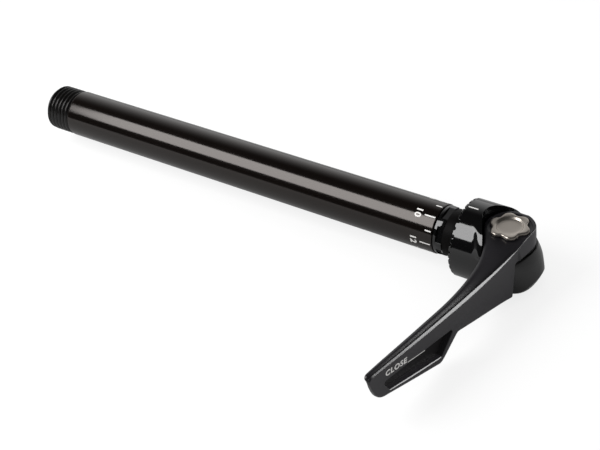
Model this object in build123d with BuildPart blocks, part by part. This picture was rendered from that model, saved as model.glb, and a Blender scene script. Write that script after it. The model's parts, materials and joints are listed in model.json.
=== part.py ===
"""A 15 mm bicycle thru axle with an internal cam lever, one STEP file for each piece.

The axle lies along Y with the head's clamp face at Y 0 and the threaded end at +Y. The cam shaft stands
along Z. The closed lever points along -X. Millimetres.
"""

from build123d import *

import os
from math import cos, radians, sin, tan

os.makedirs("parts", exist_ok=True)

# Tube
shaft_r = 7.5
thread_relief = 0.35
thread_length = 9.0
axle_reach = 158.0
joint_y = 7.5
tube_wall = 2.5
bore_chamfer = 0.5
end_chamfer = 0.7
joint_chamfer = 0.2

# Bearing collar in the tube and the clip that holds it
joint_wall = 1.3
collar_length = 13.65
collar_chamfer = 0.3
clip_set_back = 0.55
collar_clip_t = 0.8
collar_clip_w = 1.35
collar_clip_mouth = 3.4
clip_groove_depth = 0.4

# Draw stem, its seal and its nut
plug_length = 2.9
seal_set_back = 0.7
seal_width = 1.3
seal_depth = 1.03
neck_step = 0.45
neck_inset = 0.5
hub_step = 0.55
shank_step = 1.0
stud_step = 1.0
stud_over = 1.3
stud_chamfer = 0.5
stem_washer_t = 1.0
stem_nut_t = 3.6
tongue_low = -3.0
tongue_top = 0.4
tongue_wall = 1.51

# Index ring and its dowel
ring_start = 4.5
ring_wall = 1.5
ring_step = 0.2
ring_rim = 0.75
ring_chamfer = 0.15
pocket_depth = 0.75
pocket_width = 4.5
pocket_count = 6
dowel_r = 0.4
dowel_wall = 0.1
dowel_depth = 1.4

# Disc springs under the head
spring_seat_t = 0.6
spring_t = 0.3
spring_height = 0.9

# Head
pin_y = -13.8
barrel_r = 11.6
rim_chamfer = 0.6
recess_r = 9.4
spotface_z = 2.6
foot_depth = 2.2
dome_start = 3.2
dome_length = 10.5
shoulder_r = 5.5
tooth_count = 30
tooth_depth = 0.5
tooth_width = 1.3
root_r = 8.7
root_taper = 7.5
root_shoulder_r = 2.0
bush_wall = 1.0

# Cam shaft, its washers and its clip
cam_throw = 0.64
cam_r = 3.0
upper_journal_r = 4.2
lower_journal_r = 2.3
lobe_t = 1.0
lobe_chamfer = 0.35
scallop_count = 6
scallop_r = 3.2
scallop_depth = 1.1
lobe_dish_r = 3.9
lobe_dish_depth = 0.7
lobe_dish_taper = 30
arm_washer_t = 0.45
thrust_washer_r = 4.2
thrust_washer_t = 0.9
shaft_clip_r = 3.7
shaft_clip_t = 0.46
shaft_clip_depth = 0.5
shaft_clip_mouth = 2.6
foot_lip = 0.35
foot_chamfer = 0.3

# Lever
lever_range = 150
lever_length = 68.4
eye_r = 7.4
eye_rim = 1.1
dish_z = 8.0
window_depth = 1.6
window_corner_r = 1.0
heel_in = 5.0
heel_start = 6.0
valley_rise = 2.0
valley_spread = 2.4

# Clearances
slide_gap = 0.05
running_gap = 0.05
press_gap = 0.02
ring_gap = 0.2
hub_gap = 0.35
bore_gap = 0.4
spring_gap = 0.2
seat_gap = 0.3
tongue_end_gap = 0.3
cam_slot_gap = 0.35
eye_gap = 0.35
foot_gap = 0.4
sweep_gap = 0.4
cutter_reach = 4.4


def across(y):
    """The plane across the axle at y: an extrusion goes towards the head, a negative one to the thread."""
    return Plane.XZ.offset(-y)


def plan(length, out):
    """A point of the lever's plan: length from the pivot along the lever, out away from the tube."""
    return (-length, pin_y - out)


def swung(length, out):
    """The same point with the lever fully open."""
    turn = radians(lever_range)
    return (-length * cos(turn) + out * sin(turn), pin_y - length * sin(turn) - out * cos(turn))


def side(length, height):
    """A point of the lever's side view."""
    return (-length, height)


def root_radius(z):
    """The radius of the cone that parts the head from the lever's root."""
    return root_r + (spotface_z - z) * tan(radians(root_taper))


# The lever's outlines, measured from the pivot
outer_edge = [(7.0, 5.45), (30.0, 2.75), (lever_length, -3.6)]
outer_root = (2.0, 7.1)
inner_edge = [
    (lever_length - 0.4, -5.7),
    (53.4, -3.8),
    (45.0, -2.75),
    (33.0, -1.3),
    (24.0, -0.9),
    (16.0, -1.4),
    (10.0, -2.9),
]
inner_root = [(10.0, -2.9), (6.0, -4.8), (1.6, -7.2)]
top_edge = [
    (-9.0, 8.4),
    (3.0, 8.2),
    (15.0, 7.0),
    (30.0, 6.4),
    (45.0, 6.5),
    (57.0, 6.7),
    (lever_length + 0.6, 7.0),
]
low_edge = [
    (lever_length - 0.8, 1.4),
    (lever_length - 1.8, -0.6),
    (lever_length - 3.1, -1.8),
    (lever_length - 4.8, -2.6),
    (43.0, -8.1),
    (41.8, -8.5),
    (40.4, -8.0),
    (34.0, -2.7),
    (9.0, -8.2),
]
window = [(36.3, -1.2), (46.4, 1.1), (lever_length - 4.5, 1.6), (lever_length - 7.0, -2.0), (41.6, -6.2)]

# The valley along the lever's top: length, out, lowest point, half the floor's width
valley = [
    (4.5, 0.6, 7.3, 1.8),
    (12.0, 0.9, 6.1, 0.95),
    (24.0, 1.25, 5.7, 0.6),
    (40.0, -0.2, 5.9, 0.5),
    (lever_length - 2.4, -4.2, 6.6, 0.43),
]

# The wall of the head that the open lever turns clear of
open_wall = [(-14.0, 1.0), (-5.6, -5.4)]

# Radii inside the tube
thread_r = shaft_r - thread_relief
tube_bore_r = shaft_r - tube_wall
collar_seat_r = shaft_r - joint_wall
ring_r = shaft_r - ring_step
ring_bore_r = shaft_r - ring_wall
plug_r = ring_bore_r - press_gap
seal_floor_r = plug_r - seal_depth
neck_r = shaft_r - neck_step
hub_r = neck_r - hub_step
shank_r = tube_bore_r - shank_step
stud_r = shank_r - stud_step

# Places along the axle
ring_end = joint_y - ring_gap
clip_y = joint_y + plug_length + clip_set_back
collar_start = clip_y + collar_clip_t + 2 * slide_gap
collar_end = collar_start + collar_length
stem_washer_y = collar_end + 2 * running_gap
stem_nut_y = stem_washer_y + stem_washer_t
stud_end = stem_nut_y + stem_nut_t + stud_over
seal_y = joint_y + seal_set_back
neck_end = -neck_inset
spring_y = neck_end - spring_seat_t
recess_end = spring_y - 2 * spring_height - slide_gap
hub_end = recess_end + hub_gap
dowel_circle_r = ring_bore_r + dowel_wall + dowel_r + press_gap
dowel_angle = 180 / pocket_count

# Places along the cam shaft
lobe_r = eye_r - eye_rim - sweep_gap
cam_y = pin_y - cam_throw
slot_half = cam_r + cam_slot_gap
tongue_half = slot_half + cam_throw + tongue_wall
arm_z = spotface_z + running_gap + arm_washer_t
foot_face_z = foot_depth - barrel_r
shaft_clip_z = foot_face_z - running_gap - thrust_washer_t
shaft_clip_seat_r = lower_journal_r - shaft_clip_depth
foot_z = shaft_clip_z - shaft_clip_t - 2 * press_gap - foot_lip

# Room around the head for the cutters
clear_of_head = barrel_r + cutter_reach

# Tube

with BuildPart() as axle_tube:
    with BuildSketch(Plane.XY) as tube_profile:
        with BuildLine():
            Polyline(
                (collar_seat_r, joint_y),
                (shaft_r - joint_chamfer, joint_y),
                (shaft_r, joint_y + joint_chamfer),
                (shaft_r, axle_reach - thread_length),
                (thread_r, axle_reach - thread_length),
                (thread_r, axle_reach - end_chamfer),
                (thread_r - end_chamfer, axle_reach),
                (tube_bore_r + bore_chamfer, axle_reach),
                (tube_bore_r, axle_reach - bore_chamfer),
                (tube_bore_r, collar_end),
                (collar_seat_r, collar_end),
                close=True,
            )
        make_face()
    revolve(axis=Axis.Y)
    with BuildSketch(Plane.XY) as clip_groove:
        with Locations((collar_seat_r, clip_y + collar_clip_t / 2)):
            Rectangle(2 * clip_groove_depth, collar_clip_t + 2 * slide_gap)
    revolve(axis=Axis.Y, mode=Mode.SUBTRACT)
axle_tube.part.label = "axle_tube"

with BuildPart() as bearing_collar:
    with BuildSketch(Plane.XY) as collar_profile:
        with BuildLine():
            Polyline(
                (shank_r + running_gap, collar_start),
                (collar_seat_r - press_gap, collar_start),
                (collar_seat_r - press_gap, collar_end),
                (shank_r + running_gap, collar_end),
                close=True,
            )
        make_face()
    revolve(axis=Axis.Y)
    chamfer(bearing_collar.edges().filter_by(GeomType.CIRCLE).group_by(SortBy.RADIUS)[-1], collar_chamfer)
bearing_collar.part.label = "bearing_collar"

with BuildPart() as collar_clip:
    with BuildSketch(across(clip_y)) as collar_clip_outline:
        Circle(collar_seat_r + clip_groove_depth - slide_gap)
        Circle(collar_seat_r + clip_groove_depth - slide_gap - collar_clip_w, mode=Mode.SUBTRACT)
        with Locations((0, -collar_seat_r)):
            Rectangle(collar_clip_mouth, 3 * collar_clip_w, mode=Mode.SUBTRACT)
    extrude(amount=-collar_clip_t)
collar_clip.part.label = "collar_clip"

# Stem and index ring

with BuildPart() as draw_stem:
    with BuildSketch(Plane.XY) as stem_profile:
        with BuildLine():
            Polyline(
                (0, hub_end),
                (hub_r, hub_end),
                (hub_r, neck_end),
                (neck_r, neck_end),
                (neck_r, ring_start),
                (plug_r, ring_start),
                (plug_r, seal_y),
                (seal_floor_r, seal_y),
                (seal_floor_r, seal_y + seal_width),
                (plug_r, seal_y + seal_width),
                (plug_r, joint_y + plug_length),
                (shank_r, joint_y + plug_length),
                (shank_r, collar_end),
                (stud_r, collar_end),
                (stud_r, stud_end - stud_chamfer),
                (stud_r - stud_chamfer, stud_end),
                (0, stud_end),
                close=True,
            )
        make_face()
    revolve(axis=Axis.Y)
    with BuildSketch(Plane.XY.offset(tongue_low)) as tongue:
        with Locations((0, (hub_end + cam_y) / 2)):
            Rectangle(2 * tongue_half, hub_end - cam_y)
        with Locations((0, cam_y)):
            Circle(tongue_half)
    extrude(amount=tongue_top - tongue_low)
    with BuildSketch(Plane.XY.offset(tongue_low)) as cam_slot:
        with Locations((cam_throw / 2, cam_y)):
            SlotOverall(2 * slot_half + cam_throw, 2 * slot_half)
    extrude(amount=tongue_top - tongue_low, mode=Mode.SUBTRACT)
    with BuildSketch(across(ring_start)) as stem_dowel_hole:
        with PolarLocations(dowel_circle_r, 1, dowel_angle):
            Circle(dowel_r + press_gap)
    extrude(amount=dowel_depth, mode=Mode.SUBTRACT)
draw_stem.part.label = "draw_stem"

with BuildPart() as index_ring:
    with BuildSketch(Plane.XY) as ring_profile:
        with BuildLine():
            Polyline(
                (ring_bore_r, ring_start),
                (ring_r - ring_chamfer, ring_start),
                (ring_r, ring_start + ring_chamfer),
                (ring_r, ring_end - ring_chamfer),
                (ring_r - ring_chamfer, ring_end),
                (ring_bore_r, ring_end),
                close=True,
            )
        make_face()
    revolve(axis=Axis.Y)
    with BuildSketch(across(ring_end - ring_rim)) as pockets:
        with PolarLocations(shaft_r, pocket_count):
            Rectangle(2 * pocket_depth, pocket_width)
    extrude(amount=ring_end - ring_rim - ring_start, mode=Mode.SUBTRACT)
    with BuildSketch(across(ring_start)) as ring_dowel_hole:
        with PolarLocations(dowel_circle_r, 1, dowel_angle):
            Circle(dowel_r + press_gap)
    extrude(amount=-dowel_depth, mode=Mode.SUBTRACT)
index_ring.part.label = "index_ring"

with BuildPart() as ring_dowel:
    with BuildSketch(across(ring_start)) as dowel_section:
        with PolarLocations(dowel_circle_r, 1, dowel_angle):
            Circle(dowel_r)
    extrude(amount=dowel_depth - slide_gap, both=True)
ring_dowel.part.label = "ring_dowel"

with BuildPart() as tube_seal:
    with BuildSketch(Plane.XY) as seal_section:
        with BuildLine():
            Polyline(
                (seal_floor_r + press_gap, seal_y + slide_gap),
                (collar_seat_r - slide_gap, seal_y + slide_gap),
                (collar_seat_r - slide_gap, seal_y + seal_width - slide_gap),
                (seal_floor_r + press_gap, seal_y + seal_width - slide_gap),
                close=True,
            )
        make_face()
    revolve(axis=Axis.Y)
tube_seal.part.label = "tube_seal"

with BuildPart() as stem_washer:
    with BuildSketch(across(stem_washer_y)) as stem_washer_outline:
        Circle(tube_bore_r - bore_gap)
        Circle(stud_r + press_gap, mode=Mode.SUBTRACT)
    extrude(amount=-stem_washer_t)
stem_washer.part.label = "stem_washer"

with BuildPart() as stem_nut:
    with BuildSketch(across(stem_nut_y)) as stem_nut_outline:
        RegularPolygon(radius=tube_bore_r - bore_gap, side_count=6)
        Circle(stud_r + press_gap, mode=Mode.SUBTRACT)
    extrude(amount=-stem_nut_t)
stem_nut.part.label = "stem_nut"

with BuildPart() as spring_seat:
    with BuildSketch(across(neck_end)) as spring_seat_outline:
        Circle(recess_r - seat_gap)
        Circle(hub_r + press_gap, mode=Mode.SUBTRACT)
    extrude(amount=spring_seat_t)
spring_seat.part.label = "spring_seat"

spring_in_r = hub_r + spring_gap
spring_out_r = recess_r - 2 * spring_gap

with BuildPart() as disc_spring_inner:
    with BuildSketch(Plane.XY) as inner_disc_section:
        with BuildLine():
            Polyline(
                (spring_out_r, spring_y),
                (spring_out_r, spring_y - spring_t),
                (spring_in_r, spring_y - spring_height),
                (spring_in_r, spring_y - spring_height + spring_t),
                close=True,
            )
        make_face()
    revolve(axis=Axis.Y)
disc_spring_inner.part.label = "disc_spring_inner"

with BuildPart() as disc_spring_outer:
    with BuildSketch(Plane.XY) as outer_disc_section:
        with BuildLine():
            Polyline(
                (spring_in_r, spring_y - spring_height),
                (spring_in_r, spring_y - spring_height - spring_t),
                (spring_out_r, spring_y - 2 * spring_height),
                (spring_out_r, spring_y - 2 * spring_height + spring_t),
                close=True,
            )
        make_face()
    revolve(axis=Axis.Y)
disc_spring_outer.part.label = "disc_spring_outer"

# Head

with BuildPart() as root_plug:
    with Locations((0, pin_y, (spotface_z - clear_of_head) / 2)):
        Cone(root_radius(-clear_of_head), root_radius(spotface_z), clear_of_head + spotface_z)
    fillet(root_plug.edges().sort_by(Axis.Z)[-1], root_shoulder_r)

with BuildPart() as sweep_room:
    with BuildSketch(Plane.XY.offset(-clear_of_head)) as sweep_plan:
        with BuildLine():
            heel_out = outer_edge[0][1] + 2 * sweep_gap
            Polyline(
                plan(clear_of_head, -heel_in),
                plan(root_r, -heel_in),
                plan(0, 0),
                swung(heel_start, heel_out),
                swung(clear_of_head, heel_out),
                plan(-clear_of_head, clear_of_head),
                plan(clear_of_head, clear_of_head),
                close=True,
            )
        make_face()
    extrude(amount=clear_of_head + spotface_z)
    add(root_plug.part, mode=Mode.SUBTRACT)

with BuildPart() as arm_room:
    with BuildSketch(Plane.XY.offset(spotface_z)) as arm_plan:
        with Locations((0, pin_y)):
            Circle(eye_r + eye_gap)
        with BuildLine():
            arm_wall = list(reversed(inner_root)) + [inner_edge[-2]]
            Polyline(
                [plan(length + sweep_gap, out - sweep_gap) for length, out in arm_wall]
                + [plan(clear_of_head, clear_of_head), plan(-clear_of_head, clear_of_head)]
                + [plan(length, out) for length, out in open_wall],
                close=True,
            )
        make_face()
    extrude(amount=barrel_r)

with BuildPart() as rim_groove:
    with BuildSketch(Plane.YZ.offset(recess_r - rim_chamfer)) as groove_section:
        with BuildLine():
            Polyline((tooth_depth, -tooth_width), (tooth_depth, tooth_width), (-tooth_depth, 0), close=True)
        make_face()
    extrude(amount=barrel_r - recess_r + 2 * rim_chamfer)

rim_grooves = [rim_groove.part.rotate(Axis.Y, 360 * i / tooth_count) for i in range(tooth_count)]

# The dome: a shoulder arc that runs into a flatter nose arc
shoulder_in = barrel_r - shoulder_r
nose_drop = dome_length - dome_start
nose_r = (shoulder_in**2 + nose_drop**2 - shoulder_r**2) / (2 * (nose_drop - shoulder_r))
nose_share = nose_r / (nose_r - shoulder_r)
dome_top = (barrel_r, pin_y - dome_start)
dome_end = (0, pin_y - dome_length)
dome_blend = (shoulder_in * nose_share, pin_y - dome_length + nose_r - (nose_r - nose_drop) * nose_share)

with BuildPart() as head_housing:
    with BuildSketch(Plane.XY) as head_profile:
        with BuildLine():
            Polyline(
                dome_end,
                (0, recess_end),
                (recess_r, recess_end),
                (recess_r, 0),
                (barrel_r - rim_chamfer, 0),
                (barrel_r, -rim_chamfer),
                dome_top,
            )
            shoulder = TangentArc(dome_top, dome_blend, tangent=(0, -1))
            TangentArc(dome_blend, dome_end, tangent=shoulder % 1)
        make_face()
    revolve(axis=Axis.Y)
    with BuildSketch(Plane.XY.offset(tongue_low - slide_gap)) as tongue_room:
        with Locations((0, (recess_end + cam_y) / 2)):
            Rectangle(2 * (tongue_half + slide_gap), recess_end - cam_y)
        with Locations((0, cam_y)):
            Circle(tongue_half + tongue_end_gap)
    extrude(amount=tongue_top - tongue_low + 2 * slide_gap, mode=Mode.SUBTRACT)
    add(sweep_room.part, mode=Mode.SUBTRACT)
    add(arm_room.part, mode=Mode.SUBTRACT)
    with BuildSketch(Plane.XY.offset(spotface_z)) as upper_hole:
        with Locations((0, pin_y)):
            Circle(upper_journal_r + bush_wall + press_gap)
    extrude(amount=tongue_top - spotface_z, mode=Mode.SUBTRACT)
    with BuildSketch(Plane.XY.offset(tongue_low)) as lower_hole:
        with Locations((0, pin_y)):
            Circle(lower_journal_r + bush_wall + press_gap)
    extrude(amount=-clear_of_head, mode=Mode.SUBTRACT)
    with BuildSketch(Plane.XY.offset(foot_face_z)) as foot_spotface:
        with Locations((0, pin_y)):
            Circle(thrust_washer_r + foot_gap)
    extrude(amount=-clear_of_head, mode=Mode.SUBTRACT)
    add(rim_grooves, mode=Mode.SUBTRACT)
head_housing.part.label = "head_housing"

with BuildPart() as upper_bush:
    with BuildSketch(Plane.XY.offset(tongue_top + slide_gap)) as upper_bush_outline:
        with Locations((0, pin_y)):
            Circle(upper_journal_r + bush_wall)
            Circle(upper_journal_r + running_gap, mode=Mode.SUBTRACT)
    extrude(amount=spotface_z - tongue_top - slide_gap)
upper_bush.part.label = "upper_bush"

with BuildPart() as lower_bush:
    with BuildSketch(Plane.XY.offset(tongue_low - slide_gap)) as lower_bush_outline:
        with Locations((0, pin_y)):
            Circle(lower_journal_r + bush_wall)
            Circle(lower_journal_r + running_gap, mode=Mode.SUBTRACT)
    extrude(amount=foot_face_z - tongue_low + slide_gap)
lower_bush.part.label = "lower_bush"

# Cam shaft

with BuildPart() as cam_shaft:
    with BuildSketch(Plane.XY.offset(foot_z)) as lower_journal:
        with Locations((0, pin_y)):
            Circle(lower_journal_r)
    extrude(amount=tongue_top - foot_z)
    with BuildSketch(Plane.XY.offset(tongue_low)) as cam:
        with Locations((0, cam_y)):
            Circle(cam_r)
    extrude(amount=tongue_top - tongue_low)
    with BuildSketch(Plane.XY.offset(tongue_top)) as upper_journal:
        with Locations((0, pin_y)):
            Circle(upper_journal_r)
    extrude(amount=arm_z - tongue_top)
    with BuildSketch(Plane.XY.offset(arm_z)) as key:
        with Locations((0, pin_y)):
            RegularPolygon(radius=upper_journal_r, side_count=6)
    extrude(amount=dish_z - arm_z)
    with BuildSketch(Plane.XY.offset(dish_z)) as lobed_end:
        with Locations((0, pin_y)):
            Circle(lobe_r)
            with PolarLocations(lobe_r - scallop_depth + scallop_r, scallop_count):
                Circle(scallop_r, mode=Mode.SUBTRACT)
    extrude(amount=lobe_t)
    chamfer(cam_shaft.faces().sort_by(Axis.Z)[-1].edges(), lobe_chamfer)
    with BuildSketch(Plane.XY.offset(dish_z + lobe_t)) as lobe_dish:
        with Locations((0, pin_y)):
            Circle(lobe_dish_r)
    extrude(amount=-lobe_dish_depth, taper=lobe_dish_taper, mode=Mode.SUBTRACT)
    with BuildSketch(Plane.XY.offset(shaft_clip_z)) as shaft_clip_seat:
        with Locations((0, pin_y)):
            Circle(lower_journal_r)
            Circle(shaft_clip_seat_r, mode=Mode.SUBTRACT)
    extrude(amount=-shaft_clip_t - 2 * press_gap, mode=Mode.SUBTRACT)
    chamfer(cam_shaft.faces().sort_by(Axis.Z)[0].edges(), foot_chamfer)
cam_shaft.part.label = "cam_shaft"

with BuildPart() as arm_washer:
    with BuildSketch(Plane.XY.offset(arm_z)) as arm_washer_outline:
        with Locations((0, pin_y)):
            Circle(eye_r - spring_gap)
            Circle(upper_journal_r + press_gap, mode=Mode.SUBTRACT)
    extrude(amount=-arm_washer_t)
arm_washer.part.label = "arm_washer"

with BuildPart() as thrust_washer:
    with BuildSketch(Plane.XY.offset(foot_face_z - running_gap)) as thrust_washer_outline:
        with Locations((0, pin_y)):
            Circle(thrust_washer_r)
            Circle(lower_journal_r + press_gap, mode=Mode.SUBTRACT)
    extrude(amount=-thrust_washer_t)
thrust_washer.part.label = "thrust_washer"

with BuildPart() as retaining_clip:
    with BuildSketch(Plane.XY.offset(shaft_clip_z - press_gap)) as retaining_clip_outline:
        with Locations((0, pin_y)):
            Circle(shaft_clip_r)
            Circle(shaft_clip_seat_r + press_gap, mode=Mode.SUBTRACT)
        with Locations((-shaft_clip_r, pin_y)):
            Rectangle(2 * shaft_clip_r, shaft_clip_mouth, mode=Mode.SUBTRACT)
    extrude(amount=-shaft_clip_t)
retaining_clip.part.label = "retaining_clip"

# Lever

tip_length, tip_out = outer_edge[-1]
heel_length, heel_reach = outer_edge[0]
lever_floor = min(height for length, height in low_edge) - sweep_gap
lever_height = max(height for length, height in top_edge) + sweep_gap - lever_floor

with BuildPart() as window_room:
    with BuildSketch(Plane.XY.offset(lever_floor)) as window_plan:
        with BuildLine():
            Spline([plan(length, out - window_depth) for length, out in outer_edge])
            Polyline(
                plan(tip_length, tip_out - window_depth),
                plan(tip_length, eye_r),
                plan(heel_length, eye_r),
                plan(heel_length, heel_reach - window_depth),
            )
        make_face()
    extrude(amount=lever_height)
    with BuildSketch(Plane.XZ) as window_side:
        with BuildLine():
            Polyline([side(length, height) for length, height in window], close=True)
        make_face()
        fillet(window_side.vertices(), window_corner_r)
    extrude(amount=-2 * pin_y, both=True, mode=Mode.INTERSECT)

with BuildPart() as root_room:
    with Locations((0, pin_y, (arm_z - clear_of_head) / 2)):
        Cone(
            root_radius(-clear_of_head) + sweep_gap,
            root_radius(arm_z) + sweep_gap,
            clear_of_head + arm_z,
        )
    fillet(root_room.edges().sort_by(Axis.Z)[-1], root_shoulder_r)

with BuildPart() as lever:
    with BuildSketch(Plane.XY.offset(lever_floor)) as lever_plan:
        with BuildLine():
            Spline([plan(length, out) for length, out in outer_edge])
            Line(plan(*outer_edge[-1]), plan(*inner_edge[0]))
            Spline([plan(length, out) for length, out in inner_edge])
            Spline([plan(length, out) for length, out in inner_root])
            Polyline(plan(*inner_root[-1]), plan(0, 0), plan(*outer_root), plan(*outer_edge[0]))
        make_face()
        with Locations((0, pin_y)):
            Circle(eye_r)
    extrude(amount=lever_height)
    with BuildSketch(Plane.XZ) as lever_side:
        with BuildLine():
            Spline([side(length, height) for length, height in top_edge])
            Line(side(*top_edge[-1]), side(*low_edge[0]))
            Polyline([side(length, height) for length, height in low_edge])
            Polyline(side(*low_edge[-1]), side(top_edge[0][0], low_edge[-1][1]), side(*top_edge[0]))
        make_face()
    extrude(amount=-3 * pin_y, both=True, mode=Mode.INTERSECT)
    add(root_room.part, mode=Mode.SUBTRACT)
    with BuildSketch(Plane.XY.offset(dish_z)) as disc_recess:
        with Locations((0, pin_y)):
            Circle(lobe_r + sweep_gap)
    extrude(amount=lobe_r, mode=Mode.SUBTRACT)
    with BuildSketch(Plane.XY.offset(arm_z)) as key_hole:
        with Locations((0, pin_y)):
            RegularPolygon(radius=upper_journal_r + press_gap, side_count=6)
    extrude(amount=dish_z - arm_z, mode=Mode.SUBTRACT)
    for length, out, low, half in valley:
        with BuildSketch(Plane.YZ.offset(-length)):
            with BuildLine():
                middle = pin_y - out
                Polyline(
                    (middle - half, low),
                    (middle + half, low),
                    (middle + half + valley_spread, low + valley_rise),
                    (middle - half - valley_spread, low + valley_rise),
                    close=True,
                )
            make_face()
    loft(ruled=True, mode=Mode.SUBTRACT)
    add(window_room.part, mode=Mode.SUBTRACT)
lever.part.label = "lever"

export_step(axle_tube.part, "parts/axle_tube.step")
export_step(bearing_collar.part, "parts/bearing_collar.step")
export_step(collar_clip.part, "parts/collar_clip.step")
export_step(draw_stem.part, "parts/draw_stem.step")
export_step(index_ring.part, "parts/index_ring.step")
export_step(ring_dowel.part, "parts/ring_dowel.step")
export_step(tube_seal.part, "parts/tube_seal.step")
export_step(stem_washer.part, "parts/stem_washer.step")
export_step(stem_nut.part, "parts/stem_nut.step")
export_step(spring_seat.part, "parts/spring_seat.step")
export_step(disc_spring_inner.part, "parts/disc_spring_inner.step")
export_step(disc_spring_outer.part, "parts/disc_spring_outer.step")
export_step(head_housing.part, "parts/head_housing.step")
export_step(upper_bush.part, "parts/upper_bush.step")
export_step(lower_bush.part, "parts/lower_bush.step")
export_step(cam_shaft.part, "parts/cam_shaft.step")
export_step(arm_washer.part, "parts/arm_washer.step")
export_step(thrust_washer.part, "parts/thrust_washer.step")
export_step(retaining_clip.part, "parts/retaining_clip.step")
export_step(lever.part, "parts/lever.step")
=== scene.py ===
"""Looks of a 15 mm thru axle with a cam lever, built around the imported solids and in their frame.

The axle lies along Y with the head's clamp face at Y 0 and the threaded end at +Y. The cam shaft, or pin, stands
along Z and the closed lever points along -X. Shapes are written in millimetres and made in metres.
"""

import json
import math

import bmesh
import bpy
from mathutils import Matrix, Vector


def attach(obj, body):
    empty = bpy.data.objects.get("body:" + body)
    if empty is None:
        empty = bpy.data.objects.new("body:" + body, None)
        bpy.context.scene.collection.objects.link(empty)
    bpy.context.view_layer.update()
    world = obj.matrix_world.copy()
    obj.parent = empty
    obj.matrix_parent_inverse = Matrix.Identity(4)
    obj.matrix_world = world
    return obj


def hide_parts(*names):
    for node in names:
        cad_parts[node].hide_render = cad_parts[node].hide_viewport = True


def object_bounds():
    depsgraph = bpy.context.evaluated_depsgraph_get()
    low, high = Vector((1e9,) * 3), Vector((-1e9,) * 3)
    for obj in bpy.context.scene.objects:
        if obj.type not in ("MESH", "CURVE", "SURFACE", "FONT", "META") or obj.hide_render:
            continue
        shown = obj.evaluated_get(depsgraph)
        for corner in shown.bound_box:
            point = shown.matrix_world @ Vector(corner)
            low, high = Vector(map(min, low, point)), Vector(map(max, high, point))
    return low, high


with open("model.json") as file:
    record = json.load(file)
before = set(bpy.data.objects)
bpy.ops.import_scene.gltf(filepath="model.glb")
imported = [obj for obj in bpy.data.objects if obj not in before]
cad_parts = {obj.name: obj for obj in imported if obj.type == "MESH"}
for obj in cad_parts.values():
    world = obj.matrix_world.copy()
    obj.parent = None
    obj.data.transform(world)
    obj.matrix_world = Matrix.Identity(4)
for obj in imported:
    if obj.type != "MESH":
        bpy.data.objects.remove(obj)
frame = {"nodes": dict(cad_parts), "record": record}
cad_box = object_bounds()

MM = 0.001
WELD = 0.001 * MM
WHITE = (1, 1, 1, 1)

# Camera of the photograph: degrees and metres, the lens and the sensor in millimetres
VIEW_AZIMUTH = -51.27
VIEW_ELEVATION = 37.64
VIEW_ROLL = -7.39
VIEW_DISTANCE = 0.4793
VIEW_SHIFT_RIGHT = 0.07602
VIEW_SHIFT_UP = -0.05089
VIEW_ORIGIN = Vector((0, 0.15774, 0))
VIEW_LENS = 84.0
VIEW_SENSOR = 36.0

# Soft box, seen along the axle: its angle above the floor, half the angle it spans and its distance.
# Then the place of its middle along the axle, its length there and its power.
BOX_ANGLE = 51.9
BOX_SPREAD = 20.9
BOX_REACH = 0.44
BOX_Y = 0.33
BOX_LENGTH = 0.36
BOX_POWER = 2.56

# The box that lights the lever's ridge: what it aims at, the way to it, its distance, size and power
EDGE_BOX_AIM = Vector((-0.034, -0.016, 0.004))
EDGE_BOX_WAY = Vector((0.618, -0.743, 0.258))
EDGE_BOX_REACH = 0.5
EDGE_BOX_LENGTH = 0.22
EDGE_BOX_WIDTH = 0.34
EDGE_BOX_POWER = 3.5

# Floor: its tone for the light and for the camera, its size and the share of its shading that shows
FLOOR_COLOUR = 0.47
FLOOR_SHOWN = 1.0
FLOOR_SIZE = 3.0
SHADOW_SHARE = 0.22

# World: the strength of the even fill, and the sweep that gloss mirrors, bright on the side away from the camera
WORLD_FILL = 0.7
SWEEP_WAY = (0.62, 0.50, -0.61)
SWEEP_START = -0.15
SWEEP_END = 0.6
SWEEP_DARK = 0.015

# Sizes of the tube, the pin and its cam, the head and the lever in millimetres, as in the solids
SHAFT_R = 7.5
AXLE_END = 158.0
PIN_Y = -13.8
CAM_THROW = 0.64
CAM_Y = PIN_Y - CAM_THROW
TONGUE_HALF = 5.5
TONGUE_LOW = -3.0
TONGUE_HIGH = 0.4
BARREL_R = 11.6
RIM_TEETH = 30
SPOTFACE_Z = 2.6
EYE_R = 7.4
ARM_Z = 3.1
DISH_Z = 8.0
LOBE_R = 5.9
LOBES = 6
ROOT_R = 9.75
ROOT_LEAN = math.radians(7.5)
ROOT_SHOULDER = 0.9
SWING = math.radians(150)

# The index ring's pockets and the turn of the first one in degrees
POCKETS = 6
POCKET_PHASE = 25.0

# Radius by height of the round front that the head keeps under the lever's eye
FRONT_RADII = [
    (-20.0, 10.0), (-12.0, 9.8), (-8.0, 9.68), (-5.0, 9.5), (-2.0, 9.15), (-0.4, 8.82), (1.0, 8.36),
    (2.6, 7.75), (4.0, 7.1),
]

# Holes along the pin in the head: name, radius, lower and upper end
HEAD_HOLES = [
    ("upper_hole", 5.22, 0.0, 3.0),
    ("lower_hole", 3.32, -16.0, -2.5),
    ("foot_face", 4.6, -16.0, -9.4),
]

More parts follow.
